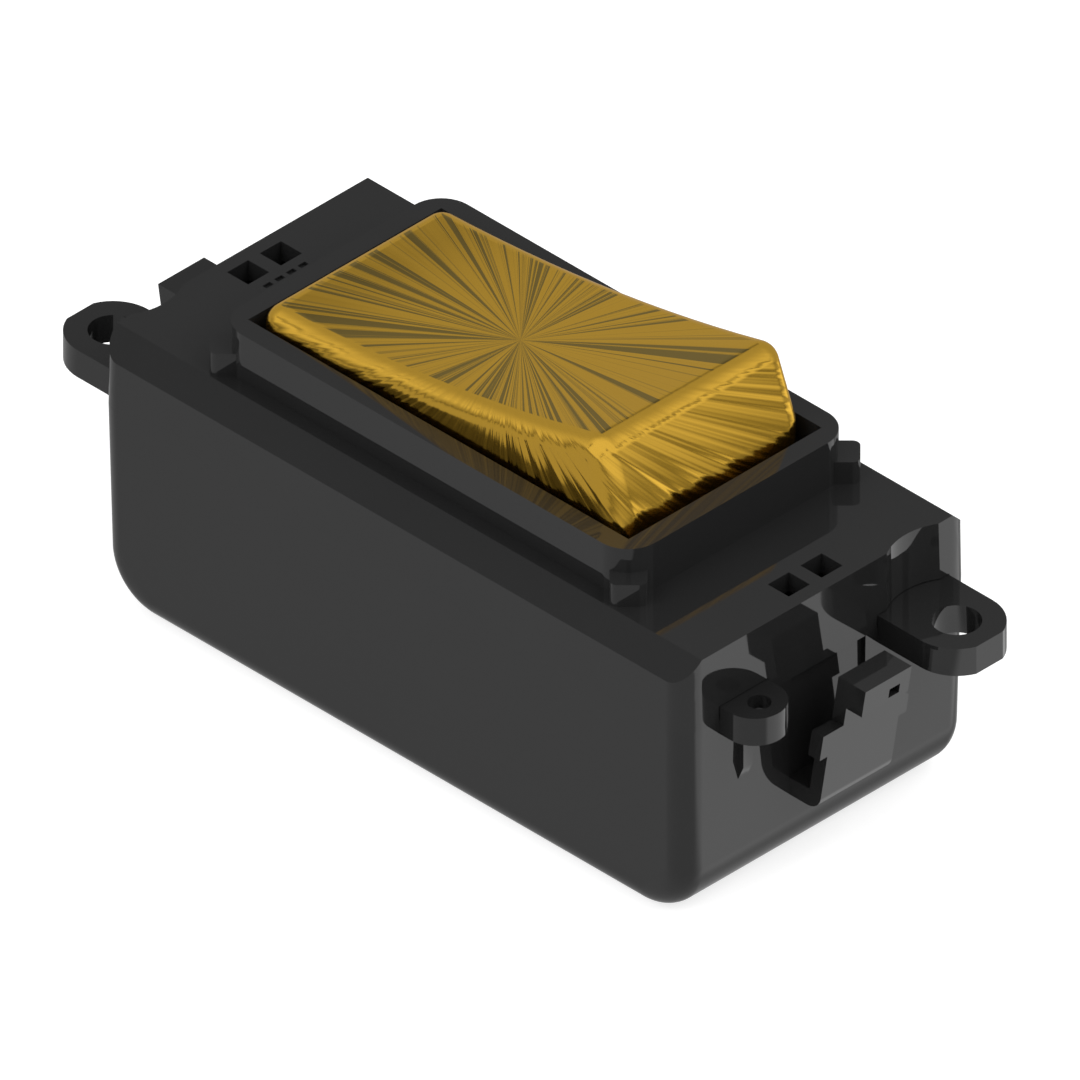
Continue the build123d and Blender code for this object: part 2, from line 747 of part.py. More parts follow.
# Generator base: the tray that holds the coil, the core and the armature's bearings
post_offset = frame_width / 2 + fit_gap + trunnion_post_thickness / 2
with BuildPart() as generator_base:
    with BuildSketch(Plane.XY.offset(base_z)):
        chamfer(Rectangle(base_length, base_width).vertices(), board_corner_chamfer)
        with Locations((0, armature_y)):
            Rectangle(
                2 * base_window_half_length,
                frame_width + 2 * fit_gap - base_window_margin,
                mode=Mode.SUBTRACT,
            )
        with Locations((0, coil_y)):
            Rectangle(2 * coil_window_half_length, coil_window_width, mode=Mode.SUBTRACT)
            with Locations((terminal_x, 0)):
                Rectangle(
                    2 * terminal_width, terminal_pitch + 2 * terminal_width, mode=Mode.SUBTRACT
                )
        with Locations((post_x, post_y), (-post_x, -post_y)):
            Circle(screw_radius + fit_gap, mode=Mode.SUBTRACT)
        with Locations((post_x, -post_y), (-post_x, post_y)):
            Circle(peg_radius + fit_gap, mode=Mode.SUBTRACT)
    extrude(amount=base_thickness)
    with BuildSketch(Plane.XY.offset(base_top_z)):
        for side in (-1, 1):
            with Locations((0, armature_y + side * post_offset)):
                Rectangle(trunnion_post_length, trunnion_post_thickness)
    extrude(amount=armature_z + trunnion_post_top - base_top_z)
    with BuildSketch(Plane.XY.offset(base_top_z)):
        rest_x = core_half_length - core_leg / 2
        with GridLocations(2 * rest_x, 0, 2, 1):
            with Locations((0, armature_y)):
                Rectangle(core_rest_length, core_tip_width)
            with Locations((0, coil_y)):
                Rectangle(core_rest_length, core_width + 2 * core_rest_margin)
    extrude(amount=armature_z - core_thickness / 2 - base_top_z)
    with Locations((0, armature_y, armature_z)):
        Cylinder(
            trunnion_radius + running_gap,
            2 * (post_offset + trunnion_post_thickness),
            rotation=(90, 0, 0),
            mode=Mode.SUBTRACT,
        )
        Box(
            2 * trunnion_radius - 2 * running_gap,
            2 * (post_offset + trunnion_post_thickness),
            trunnion_post_top + slack,
            align=(Align.CENTER, Align.CENTER, Align.MIN),
            mode=Mode.SUBTRACT,
        )

with BuildPart() as base_screws:
    for x, y in ((post_x, post_y), (-post_x, -post_y)):
        with BuildSketch(Plane.XY.offset(base_top_z)):
            with Locations((x, y)):
                Circle(screw_head_radius)
        extrude(amount=screw_head_height)
        with BuildSketch(Plane.XY.offset(base_top_z)):
            with Locations((x, y)):
                Circle(screw_radius)
        extrude(amount=-(screw_length + base_thickness - 4 * fit_gap))
        with BuildSketch(Plane.XY.offset(base_top_z + screw_head_height)):
            with Locations((x, y)):
                Rectangle(2 * screw_head_radius - screw_slot, screw_slot)
                Rectangle(screw_slot, 2 * screw_head_radius - screw_slot)
        extrude(amount=-screw_slot_depth, mode=Mode.SUBTRACT)


# Circuit board and the parts soldered to it
with BuildPart() as circuit_board:
    with BuildSketch(Plane.XY.offset(board_z)):
        chamfer(Rectangle(board_length, board_width).vertices(), board_corner_chamfer)
        with GridLocations(2 * post_x, 2 * post_y, 2, 2):
            Rectangle(post_notch, post_notch, mode=Mode.SUBTRACT)
        with Locations((terminal_x, coil_y)):
            with GridLocations(0, terminal_pitch, 1, 2):
                Rectangle(
                    terminal_width + 2 * fit_gap,
                    terminal_width + 2 * fit_gap,
                    mode=Mode.SUBTRACT,
                )
    extrude(amount=board_thickness)


def board_block(x, y, length, width, height, edge):
    """Moulded chip or can that stands on the board, its upper edges eased."""
    with BuildPart() as block:
        with BuildSketch(Plane.XY.offset(board_top_z)):
            with Locations((x, y)):
                Rectangle(length, width)
        extrude(amount=height)
        chamfer(block.faces().sort_by(Axis.Z)[-1].edges(), edge)
    return block


chip_x = 1.5
chip_y = -5.0
chip_edge = 0.12
end_room_x = (base_length / 2 + board_length / 2) / 2
transmitter_chip = board_block(chip_x, chip_y, chip_size, chip_size, chip_height, chip_edge)
crystal = board_block(
    chip_x + chip_size, chip_y, crystal_length, crystal_width, crystal_height, chip_edge
)
rectifier = board_block(
    terminal_x + rectifier_length,
    coil_y,
    rectifier_length,
    rectifier_width,
    rectifier_height,
    chip_edge,
)
choke = board_block(
    terminal_x + rectifier_length + choke_size + chip_size / 2,
    coil_y,
    choke_size,
    choke_size,
    choke_height,
    chip_edge,
)

with BuildPart() as storage_capacitor:
    with BuildSketch(Plane.XY.offset(board_top_z)):
        with Locations((-end_room_x, coil_y)):
            Circle(capacitor_radius)
    extrude(amount=capacitor_height)
    chamfer(storage_capacitor.faces().sort_by(Axis.Z)[-1].edges(), capacitor_radius / 8)

with BuildPart() as antenna_wire:
    with BuildLine() as hairpin:
        foot_y = antenna_length / 2
        bend_y = foot_y - antenna_bend
        bend_z = board_top_z + antenna_height - antenna_bend
        Polyline(
            (end_room_x, -foot_y, board_top_z),
            (end_room_x, -foot_y, bend_z),
            (end_room_x, -bend_y, bend_z + antenna_bend),
            (end_room_x, bend_y, bend_z + antenna_bend),
            (end_room_x, foot_y, bend_z),
            (end_room_x, foot_y, board_top_z),
        )
    with BuildSketch(Plane.XY.offset(board_top_z)):
        with Locations((end_room_x, -foot_y)):
            Circle(antenna_wire_radius)
    sweep(path=hairpin.line, transition=Transition.RIGHT)


pieces = {
    "rear_housing": rear_housing,
    "front_cover": front_cover,
    "rocker_cap": rocker_cap,
    "rocker_carrier": rocker_carrier,
    "pivot_pin": pivot_pin,
    "armature_frame": armature_frame,
    "armature_magnet": armature_magnet,
    "upper_pole_plate": upper_pole_plate,
    "lower_pole_plate": lower_pole_plate,
    "left_core_leg": left_core_leg,
    "right_core_leg": right_core_leg,
    "coil_bobbin": coil_bobbin,
    "coil_winding": coil_winding,
    "coil_terminals": coil_terminals,
    "generator_base": generator_base,
    "base_screws": base_screws,
    "circuit_board": circuit_board,
    "transmitter_chip": transmitter_chip,
    "crystal": crystal,
    "rectifier": rectifier,
    "choke": choke,
    "storage_capacitor": storage_capacitor,
    "antenna_wire": antenna_wire,
}

os.makedirs("parts", exist_ok=True)
for name, piece in pieces.items():
    piece.part.label = name
    export_step(piece.part, f"parts/{name}.step")
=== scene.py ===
# %% [markdown]
# # A wireless rocker switch module, dressed for its portrait
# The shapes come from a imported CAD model: a black case and cover, a gold rocker, and a small
# generator inside. Here they get their finishes, a coil wound in real wire, a white studio and a
# camera. Everything is in metres, and one value holds the millimetre.

import math

import bmesh
import bpy
import numpy as np
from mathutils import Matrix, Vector


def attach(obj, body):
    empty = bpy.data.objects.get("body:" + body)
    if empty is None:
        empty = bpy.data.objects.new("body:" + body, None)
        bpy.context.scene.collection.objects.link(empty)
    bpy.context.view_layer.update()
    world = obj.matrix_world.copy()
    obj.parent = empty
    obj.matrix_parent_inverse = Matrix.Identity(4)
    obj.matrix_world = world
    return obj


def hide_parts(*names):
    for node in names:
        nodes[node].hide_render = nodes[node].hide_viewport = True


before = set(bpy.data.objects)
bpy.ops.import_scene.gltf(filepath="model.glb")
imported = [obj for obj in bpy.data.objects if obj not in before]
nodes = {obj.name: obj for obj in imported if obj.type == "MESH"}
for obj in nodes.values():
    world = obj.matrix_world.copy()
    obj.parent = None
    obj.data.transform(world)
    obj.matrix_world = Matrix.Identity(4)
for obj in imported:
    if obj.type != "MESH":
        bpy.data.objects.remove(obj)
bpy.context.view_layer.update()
mm = 0.001

# %% [markdown]
# ## Smooth faces with crisp edges
# The CAD mesh arrives as loose triangles. A polished moulding shows every facet in its
# reflections, so the triangles are welded, split again at real edges, and shaded smooth. The
# weighted normals keep flat faces flat right up to their rounded edges.

# %% Shading of the moulded and machined pieces
edge_angle = math.radians(24)
weld_distance = 0.0004 * mm
large_faces_first = 100


def shade_like_moulding(obj):
    """Weld, split at edges sharper than edge_angle, and weight the normals by face area."""
    obj.data.polygons.foreach_set("use_smooth", np.ones(len(obj.data.polygons), bool))
    weld = obj.modifiers.new("weld", "WELD")
    weld.merge_threshold = weld_distance
    split = obj.modifiers.new("split", "EDGE_SPLIT")
    split.split_angle = edge_angle
    normals = obj.modifiers.new("normals", "WEIGHTED_NORMAL")
    normals.weight = large_faces_first
    normals.keep_sharp = True


for node in nodes.values():
    shade_like_moulding(node)
print("smooth shading on", len(nodes), "nodes")

# %% [markdown]
# ## One way to make a material
# Each finish is a small node tree. A colour is written as the sRGB value that one reads off a
# screen, and one function turns it into the linear light that the shader needs. Another adds a
# node with its settings and links. The rest are short cuts for what every finish uses: noise of
# a size in millimetres, a value mapped to a range, arithmetic on numbers and on vectors, a blend
# of two colours and a bump. Noise seldom leaves the middle of its range, so a range is mapped
# from there.

# %% Colour and node helpers
middle_of_noise = (0.3, 0.7)
most_of_noise = (0.2, 0.8)


def linear(code):
    """Linear RGBA of an sRGB hex value, by the sRGB curve."""
    value = np.array([int(code[i : i + 2], 16) for i in (1, 3, 5)]) / 255
    low = value / 12.92
    high = ((value + 0.055) / 1.055) ** 2.4
    return (*np.where(value <= 0.04045, low, high).tolist(), 1.0)


def add_node(tree, kind, inputs=None, **settings):
    """Add a node; inputs maps a socket to a constant or to another node's output."""
    node = tree.nodes.new("ShaderNode" + kind)
    for key, value in settings.items():
        setattr(node, key, value)
    for socket, value in (inputs or {}).items():
        if isinstance(value, bpy.types.NodeSocket):
            tree.links.new(value, node.inputs[socket])
        else:
            node.inputs[socket].default_value = value
    return node


def new_material(name, **surface):
    """Material with one Principled shader; surface sets its constant sockets by name."""
    material = bpy.data.materials.new(name)
    material.use_nodes = True
    tree = material.node_tree
    shader = tree.nodes["Principled BSDF"]
    for socket, value in surface.items():
        shader.inputs[socket.replace("_", " ")].default_value = value
    return material, tree, shader


def place_in(tree):
    """Object coordinates, in metres."""
    return add_node(tree, "TexCoord").outputs["Object"]


def maths(tree, operation, *values):
    """One arithmetic step on numbers."""
    return add_node(tree, "Math", dict(enumerate(values)), operation=operation).outputs["Value"]


def vectors(tree, operation, *values):
    """One arithmetic step on vectors that gives a vector."""
    return add_node(tree, "VectorMath", dict(enumerate(values)), operation=operation).outputs["Vector"]


def measured(tree, operation, *values):
    """One arithmetic step on vectors that gives a number."""
    return add_node(tree, "VectorMath", dict(enumerate(values)), operation=operation).outputs["Value"]


def noise(tree, place, size_mm, detail=2.0, stretch=(1.0, 1.0, 1.0)):
    """Cloudy noise whose patches are about size_mm across, longer along a stretched axis."""
    scale = [1 / (size_mm * mm * factor) for factor in stretch]
    inputs = {"Vector": vectors(tree, "MULTIPLY", place, scale), "Scale": 1.0, "Detail": detail}
    return add_node(tree, "TexNoise", inputs).outputs["Fac"]


def mapped(tree, value, low, high, to_low=0.0, to_high=1.0):
    """Smooth step of value from low..high to to_low..to_high."""
    inputs = {"Value": value, "From Min": low, "From Max": high, "To Min": to_low, "To Max": to_high}
    return add_node(tree, "MapRange", inputs, interpolation_type="SMOOTHSTEP").outputs["Result"]


def blend(tree, factor, first, second):
    """Colour between first and second."""
    node = add_node(tree, "Mix", {"Factor": factor}, data_type="RGBA")
    for name, value in (("A", first), ("B", second)):
        socket = [s for s in node.inputs if s.name == name and s.type == "RGBA"][0]
        if isinstance(value, bpy.types.NodeSocket):
            tree.links.new(value, socket)
        else:
            socket.default_value = value
    return [s for s in node.outputs if s.type == "RGBA"][0]


def bump(tree, height, depth_mm, strength=1.0):
    """Normal of a relief that is depth_mm deep where height goes from 0 to 1."""
    inputs = {"Height": height, "Distance": depth_mm * mm, "Strength": strength}
    return add_node(tree, "Bump", inputs).outputs["Normal"]


def finish_with(tree, shader, **outputs):
    """Link outputs to the shader's sockets by name."""
    for socket, value in outputs.items():
        tree.links.new(value, shader.inputs[socket.replace("_", " ")])


def wear(names, material):
    """Give the named nodes this material."""
    for name in names:
        data = nodes[name].data
        data.materials.clear()
        data.materials.append(material)


def box_of(name):
    """Lowest and highest corner of a node, in its own coordinates."""
    corners = np.array([corner[:] for corner in nodes[name].bound_box])
    return corners.min(axis=0), corners.max(axis=0)


print("#808080 is", round(linear("#808080")[0], 3), "in linear light")

# %% [markdown]
# ## Black polycarbonate
# Wiring accessories are moulded in glossy polycarbonate. The tool is polished, so the surface
# mirrors what stands round it, weakly face on and more at a slant: an index of refraction of 1.58
# does that. The flow of the plastic leaves a very shallow swell a few millimetres wide, which
# bends long reflections a little.

# %% Case and cover plastic
polycarbonate_ior = 1.58
swell_depth_mm = 0.002
haze_to_swell = 0.3
polished_roughness = (0.025, 0.05)


def polished_polycarbonate(name, dark, light, swell_mm):
    """Mirror-smooth moulding with a faint swell from the flow of the plastic."""
    material, tree, shader = new_material(name, IOR=polycarbonate_ior)
    place = place_in(tree)
    swell = noise(tree, place, swell_mm, 1.0)
    haze = noise(tree, place, haze_to_swell * swell_mm, 3.0)
    finish_with(
        tree,
        shader,
        Base_Color=blend(tree, swell, linear(dark), linear(light)),
        Roughness=mapped(tree, haze, *middle_of_noise, *polished_roughness),
        Normal=bump(tree, swell, swell_depth_mm),
    )
    return material


# the deep case: long, calm reflections of the paper on its walls
case_black = polished_polycarbonate("black_polycarbonate_case", "#1e1e1e", "#202020", swell_mm=9.0)
wear(["rear_housing"], case_black)
# the cover: the same plastic from a smaller tool, so its swell is shorter
cover_black = polished_polycarbonate("black_polycarbonate_cover", "#202020", "#222222", swell_mm=7.0)
wear(["front_cover"], cover_black)
print("case and cover are polished polycarbonate")

# %% [markdown]
# ## Where the gold's rays come from
# The cap is gold plated and brushed outwards from the middle of its dish. A stroke is the same
# colour and the same depth along its whole length, so the pattern depends only on the angle round
# an axis. On the end of the cap the strokes don't run straight down but fan out sideways: the
# axis leans towards the near right, and every stroke lies in a plane that holds it.

# %% Axis of the rays
pivot_height = 17.6 * mm
rocker_tilt = math.radians(8.5)
dish_height = 7.68 * mm
ray_depth = 0.35 * mm
cap_up = Vector((-math.sin(rocker_tilt), 0, math.cos(rocker_tilt)))
ray_centre = Vector((0, 0, pivot_height)) + (dish_height - ray_depth) * cap_up
ray_axis = Vector((0.51, -0.69, 0.515)).normalized()
print("rays start at", [round(v / mm, 2) for v in ray_centre], "mm")

# %% [markdown]
# ## Gold brushed in rays
# Taking away from a point's offset the part along the axis leaves its direction round the axis.
# Noise read on a circle of that direction comes back to where it started after one turn, so there
# is no seam, and the circle's size sets how many strokes fit in a turn. On the dish the broad
# strokes, with fine hairlines between them, get a painted dull olive shade: it stands for the dark
# reflections of the brushed slopes, and it is painted on the dish only. On the steep sides the strokes
# show by their relief: each tips the mirror a little, so bright and dark parts of the room lie
# side by side. The relief grows with the distance from the axis, which keeps its slope the same
# all the way out, and it fades over the rounded rims towards the dish. The two ends are also
# brushed a little hollow, so their normals lean upwards and they mirror more of the room and less
# of the black rim in front of them.

# %% Gold cap
gold_dark, gold_light = "#f1be46", "#f9c64b"
# painted shade: the dull olive of the dark streaks on the dish
gold_painted_shade = "#96824a"
gold_edge = "#fff2d8"
gold_roughness = (0.16, 0.22)
# swings of each noise in one turn, and where each is read
broad_strokes, fine_strokes, grooves = 112, 270, 44
broad_seed, fine_seed = 3.1, 7.7
# levels of the noise where a painted dark streak or hairline begins, and how much painted shade it gets
painted_streaks_above, painted_streaks_share = (0.525, 0.535), 0.95
painted_hairlines_above, painted_hairlines_share = (0.57, 0.6), 0.45
# how much a normal points up from the cap on the dish and the rims, and along x on the ends
dish_facing = (0.975, 0.988)
rim_facing = (0.3, 0.95)
end_facing = (0.1, 0.8)
# depth of the grooves in mm for each mm from the axis, and what is left of it on the dish
relief_per_mm = 0.04
relief_on_dish = 0.12
fine_relief = 0.02
hollow = 0.18


def ray_noise(tree, direction, strokes, detail, roughness, seed):
    """Noise on a circle: strokes sets how many swings there are in one turn."""
    radius = strokes / (2 * math.pi)
    circle = vectors(tree, "MULTIPLY_ADD", direction, (radius,) * 3, (seed,) * 3)
    inputs = {"Vector": circle, "Scale": 1.0, "Detail": detail, "Roughness": roughness}
    return add_node(tree, "TexNoise", inputs).outputs["Fac"]


def brushed_gold(name):
    """Gold plate with strokes in planes through ray_axis."""
    material, tree, shader = new_material(name, Metallic=1.0, Specular_Tint=linear(gold_edge))
    coordinates = add_node(tree, "TexCoord").outputs
    offset = vectors(tree, "SUBTRACT", coordinates["Object"], ray_centre)
    across = vectors(tree, "SUBTRACT", offset, vectors(tree, "PROJECT", offset, ray_axis))
    direction = vectors(tree, "NORMALIZE", across)
    reach = measured(tree, "LENGTH", across)
    facing = measured(tree, "DOT_PRODUCT", coordinates["Normal"], cap_up)
    on_dish = mapped(tree, facing, *dish_facing)

    broad = ray_noise(tree, direction, broad_strokes, 5.0, 0.7, broad_seed)
    fine = ray_noise(tree, direction, fine_strokes, 3.0, 0.6, fine_seed)
    # painted shade: dark olive streaks, only on the dish, standing for the dark reflections of the
    # brushed slopes
    painted_streaks = maths(tree, "MULTIPLY", mapped(tree, broad, *painted_streaks_above), painted_streaks_share)
    painted_hairlines = maths(tree, "MULTIPLY", mapped(tree, fine, *painted_hairlines_above), painted_hairlines_share)
    painted_dish_shade = maths(tree, "MULTIPLY", maths(tree, "MAXIMUM", painted_streaks, painted_hairlines), on_dish)
    plain = blend(tree, fine, linear(gold_dark), linear(gold_light))

    groove = ray_noise(tree, direction, grooves, 3.0, 0.55, broad_seed)
    relief = maths(tree, "MULTIPLY_ADD", fine, fine_relief, groove)
    height = maths(tree, "MULTIPLY", relief, maths(tree, "DIVIDE", reach, mm))
    strength = mapped(tree, facing, *rim_facing, 1.0, relief_on_dish)
    ridged = bump(tree, height, relief_per_mm, strength)

    endways = measured(tree, "DOT_PRODUCT", coordinates["Normal"], (1.0, 0.0, 0.0))
    on_end = mapped(tree, maths(tree, "ABSOLUTE", endways), *end_facing)
    inputs = {0: cap_up * hollow, "Scale": on_end}
    lean = add_node(tree, "VectorMath", inputs, operation="SCALE").outputs["Vector"]
    finish_with(
        tree,
        shader,
        Base_Color=blend(tree, painted_dish_shade, plain, linear(gold_painted_shade)),
        Roughness=mapped(tree, fine, *middle_of_noise, *gold_roughness),
        Normal=vectors(tree, "NORMALIZE", vectors(tree, "ADD", ridged, lean)),
    )
    return material


# gold plate: the one warm, bright surface, with rays that lead the eye to the dish
wear(["rocker_cap"], brushed_gold("gold_plate_brushed_in_rays"))
print("rocker cap is brushed gold")

# %% [markdown]
# ## Mouldings inside
# Hidden mouldings come from tools that aren't polished. A fine spark-eroded grain dulls them, and
# glass fibre or the regrind in natural nylon clouds their colour.

# %% Satin mouldings
moulding_ior = 1.53
spark_grain_mm = 0.1
roughness_spread = 0.08


def satin_moulding(name, dark, light, cloud_mm, roughness, grain_depth_mm):
    """Spark-eroded plastic: clouded colour, and a grain spark_grain_mm wide."""
    material, tree, shader = new_material(name, IOR=moulding_ior)
    place = place_in(tree)
    cloud = mapped(tree, noise(tree, place, cloud_mm, 4.0), *middle_of_noise)
    grain = noise(tree, place, spark_grain_mm, 1.0)
    around = (roughness - roughness_spread, roughness + roughness_spread)
    finish_with(
        tree,
        shader,
        Base_Color=blend(tree, cloud, linear(dark), linear(light)),
        Roughness=mapped(tree, grain, *most_of_noise, *around),
        Normal=bump(tree, grain, grain_depth_mm),
    )
    return material


# each row: node, name, darkest and lightest colour, cloud in mm, roughness, depth of grain in mm
mouldings = [
    # a dull black skeleton that lets the gold cap shine
    ("rocker_carrier", "satin_black_carrier", "#222224", "#2c2c2e", 3.0, 0.5, 0.004),
    # acetal: milky and slippery, so that the fork is told from the metal it grips
    ("armature_frame", "natural_acetal_frame", "#dcd6c6", "#ebe6d8", 1.5, 0.38, 0.002),
    # glass-filled nylon: fibres show as short pale flecks
    ("coil_bobbin", "glass_filled_nylon_bobbin", "#2c2e33", "#43464c", 0.4, 0.55, 0.006),
    # unpigmented nylon: the warm, slightly uneven ivory of an uncoloured moulding
    ("generator_base", "natural_nylon_base", "#c9c1a8", "#ddd6c0", 2.2, 0.48, 0.004),
]
for wearer, *finish in mouldings:
    wear([wearer], satin_moulding(*finish))
print(len(mouldings), "satin mouldings")

# %% [markdown]
# ## Metals inside
# Each metal keeps the marks of how it was made. Stretching the noise along one axis turns patches
# into grinding or drawing lines, and rings round a screw's own axis are the marks of turning.

# %% Drawn, ground and plated metal
stain_mm = 2.5
line_levels = (0.25, 0.75)


def worked_metal(name, dark, light, roughness, line_mm, stretch, depth_mm):
    """Metal with lines from grinding or drawing along the stretched axis."""
    material, tree, shader = new_material(name, Metallic=1.0)
    place = place_in(tree)
    lines = noise(tree, place, line_mm, 3.0, stretch)
    stain = noise(tree, place, stain_mm, 3.0)
    around = (roughness - roughness_spread, roughness + roughness_spread)
    finish_with(
        tree,
        shader,
        Base_Color=blend(tree, stain, linear(dark), linear(light)),
        Roughness=mapped(tree, lines, *line_levels, *around),
        Normal=bump(tree, lines, depth_mm),
    )
    return material


along_x = (12.0, 1.0, 1.0)
along_y = (1.0, 12.0, 1.0)
along_z = (1.0, 1.0, 12.0)
plates = ["upper_pole_plate", "lower_pole_plate"]
cores = ["left_core_leg", "right_core_leg"]
cans = ["crystal", "storage_capacitor"]
# each row: nodes, name, darkest and lightest colour, roughness, width, way and depth of a line in mm
metals = [
    # ground steel: a hard bright line through the middle of the rocker
    (["pivot_pin"], "ground_steel_pin", "#a9aaac", "#c4c5c7", 0.2, 0.12, along_y, 0.002),
    # nickel: smooth, faintly warm, with hardly a line on it
    (["armature_magnet"], "nickel_plated_magnet", "#b9b3a6", "#cfcabd", 0.18, 0.5, along_x, 0.001),
    # zinc on soft iron: bluish, with rolling lines along the plates
    (plates, "zinc_plated_pole_iron", "#a3a8ae", "#c0c5ca", 0.42, 0.2, along_x, 0.0015),
    # annealed iron: the greyest and dullest of the metals
    (cores, "annealed_core_iron", "#6f7073", "#8c8d90", 0.42, 0.2, along_x, 0.004),
    # tinned pins: soft sheen, drawn lengthwise
    (["coil_terminals"], "tinned_terminal", "#bcbdb8", "#d2d3cf", 0.28, 0.08, along_z, 0.002),
    # bare copper: warm accent that tells the antenna from every other wire
    (["antenna_wire"], "bare_copper_antenna", "#b5683f", "#d08a5e", 0.25, 0.1, along_y, 0.002),
    # drawn aluminium: pale cans, lines up the walls
    (cans, "drawn_aluminium_can", "#b6b8ba", "#d0d1d2", 0.3, 0.12, along_z, 0.002),
]
for wearers, *finish in metals:
    wear(wearers, worked_metal(*finish))
print(len(metals), "metals on pin, magnet, plates, core, terminals, antenna and cans")

# %% [markdown]
# ## Screws off the lathe
# The two screws hold the generator base. A lathe leaves rings round a screw's own axis, so the
# pattern needs the distance to the nearer of the two axes, seen from above.

# %% Turned screws
screw_stain_mm = 0.8
screw_roughness = (0.2, 0.3)
ring_mm, ring_depth_mm = 0.12, 0.001
head_radius = 1.45 * mm


def turned_metal(name, dark, light, axes):
    """Metal with a sine of the distance to the nearer upright axis, one ring each ring_mm."""
    material, tree, shader = new_material(name, Metallic=1.0)
    place = place_in(tree)
    distances = []
    for axis in axes:
        level = vectors(tree, "MULTIPLY", vectors(tree, "SUBTRACT", place, axis), (1.0, 1.0, 0.0))
        distances.append(measured(tree, "LENGTH", level))
    nearest = maths(tree, "MINIMUM", *distances)
    rings = maths(tree, "SINE", maths(tree, "MULTIPLY", nearest, 2 * math.pi / (ring_mm * mm)))
    stain = noise(tree, place, screw_stain_mm, 3.0)
    finish_with(
        tree,
        shader,
        Base_Color=blend(tree, stain, linear(dark), linear(light)),
        Roughness=mapped(tree, stain, *middle_of_noise, *screw_roughness),
        Normal=bump(tree, rings, ring_depth_mm),
    )
    return material


screw_x, screw_y = box_of("base_screws")[1][:2] - head_radius
screw_axes = [(screw_x, screw_y, 0.0), (-screw_x, -screw_y, 0.0)]
# zinc screws: small bright rings in two corners
wear(["base_screws"], turned_metal("zinc_plated_screw", "#b4b7ba", "#cfd2d4", screw_axes))
print("screw axes in mm:", [[round(float(v) / mm, 2) for v in axis[:2]] for axis in screw_axes])

# %% [markdown]
# ## The board and its parts
# Copper tracks lie under the green mask and show as paler, slightly raised lines. They run in
# bundles, so the board is cut into square patches, and a random number for each patch says
# whether its tracks run one way, the other way or not at all. The chips are dull black resin with
# a dimple that marks the first pin, and the choke is granular sintered ferrite.

# %% Solder mask, resin and ferrite
mask_dark, mask_light, mask_on_copper = "#12442a", "#175233", "#2a7046"
patch_mm, pitch_mm = 3.2, 0.64
# share of the pitch that a track takes, where its sloping edge begins, and patches with tracks
track_share, track_edge = 0.4, 0.85
tracked_patches = 0.85
resin_black, dimple_grey = "#1a1a1c", "#2b2b2e"
ferrite_grain, ferrite_joint = "#48494c", "#2b2c2e"


def solder_mask(name):
    """Green mask over tracks: stripes on a share of the pitch, along x or y patch by patch."""
    material, tree, shader = new_material(name, IOR=1.5)
    coordinates = add_node(tree, "TexCoord").outputs
    place = coordinates["Object"]
    patch = vectors(tree, "SNAP", place, (patch_mm * mm, patch_mm * mm, 1.0))
    number = vectors(tree, "MULTIPLY", patch, (1 / (patch_mm * mm),) * 3)
    chance = add_node(tree, "TexWhiteNoise", {"Vector": number}, noise_dimensions="2D").outputs["Value"]
    parts = add_node(tree, "SeparateXYZ", {"Vector": place}).outputs
    edge = track_share * pitch_mm * mm / 2
    stripes = {}
    for axis in ("X", "Y"):
        swing = maths(tree, "PINGPONG", parts[axis], pitch_mm * mm / 2)
        stripes[axis] = mapped(tree, swing, track_edge * edge, edge, 1.0, 0.0)
    inputs = {"Factor": maths(tree, "GREATER_THAN", chance, 0.5), "A": stripes["Y"], "B": stripes["X"]}
    turned = add_node(tree, "Mix", inputs).outputs["Result"]
    up = add_node(tree, "SeparateXYZ", {"Vector": coordinates["Normal"]}).outputs["Z"]
    flat = mapped(tree, maths(tree, "ABSOLUTE", up), 0.8, 0.9)
    laid = maths(tree, "MULTIPLY", flat, maths(tree, "LESS_THAN", chance, tracked_patches))
    copper = maths(tree, "MULTIPLY", turned, laid)
    cloud = noise(tree, place, 1.2, 2.0)
    plain = blend(tree, cloud, linear(mask_dark), linear(mask_light))
    finish_with(
        tree,
        shader,
        Base_Color=blend(tree, copper, plain, linear(mask_on_copper)),
        Roughness=mapped(tree, cloud, *middle_of_noise, 0.2, 0.32),
        Normal=bump(tree, copper, 0.02),
    )
    return material


def chip_resin(name, first_pin, dimple_mm):
    """Moulded resin with a round dimple at first_pin."""
    material, tree, shader = new_material(name, IOR=1.55)
    place = place_in(tree)
    away = measured(tree, "DISTANCE", place, first_pin)
    dimple = mapped(tree, away, 0.42 * dimple_mm * mm, 0.5 * dimple_mm * mm, 1.0, 0.0)
    grain = noise(tree, place, 0.08, 2.0)
    height = maths(tree, "SUBTRACT", maths(tree, "MULTIPLY", grain, 0.2), dimple)
    finish_with(
        tree,
        shader,
        Base_Color=blend(tree, dimple, linear(resin_black), linear(dimple_grey)),
        Roughness=mapped(tree, grain, *most_of_noise, 0.5, 0.65),
        Normal=bump(tree, height, 0.03),
    )
    return material


def sintered_ferrite(name):
    """Dark ceramic with pits between its grains."""
    material, tree, shader = new_material(name, IOR=2.3)
    inputs = {"Vector": place_in(tree), "Scale": 1 / (0.12 * mm)}
    grains = add_node(tree, "TexVoronoi", inputs, feature="F1").outputs["Distance"]
    finish_with(
        tree,
        shader,
        Base_Color=blend(tree, grains, linear(ferrite_grain), linear(ferrite_joint)),
        Roughness=mapped(tree, grains, 0.0, 0.8, 0.5, 0.75),
        Normal=bump(tree, maths(tree, "SUBTRACT", 1.0, grains), 0.012),
    )
    return material


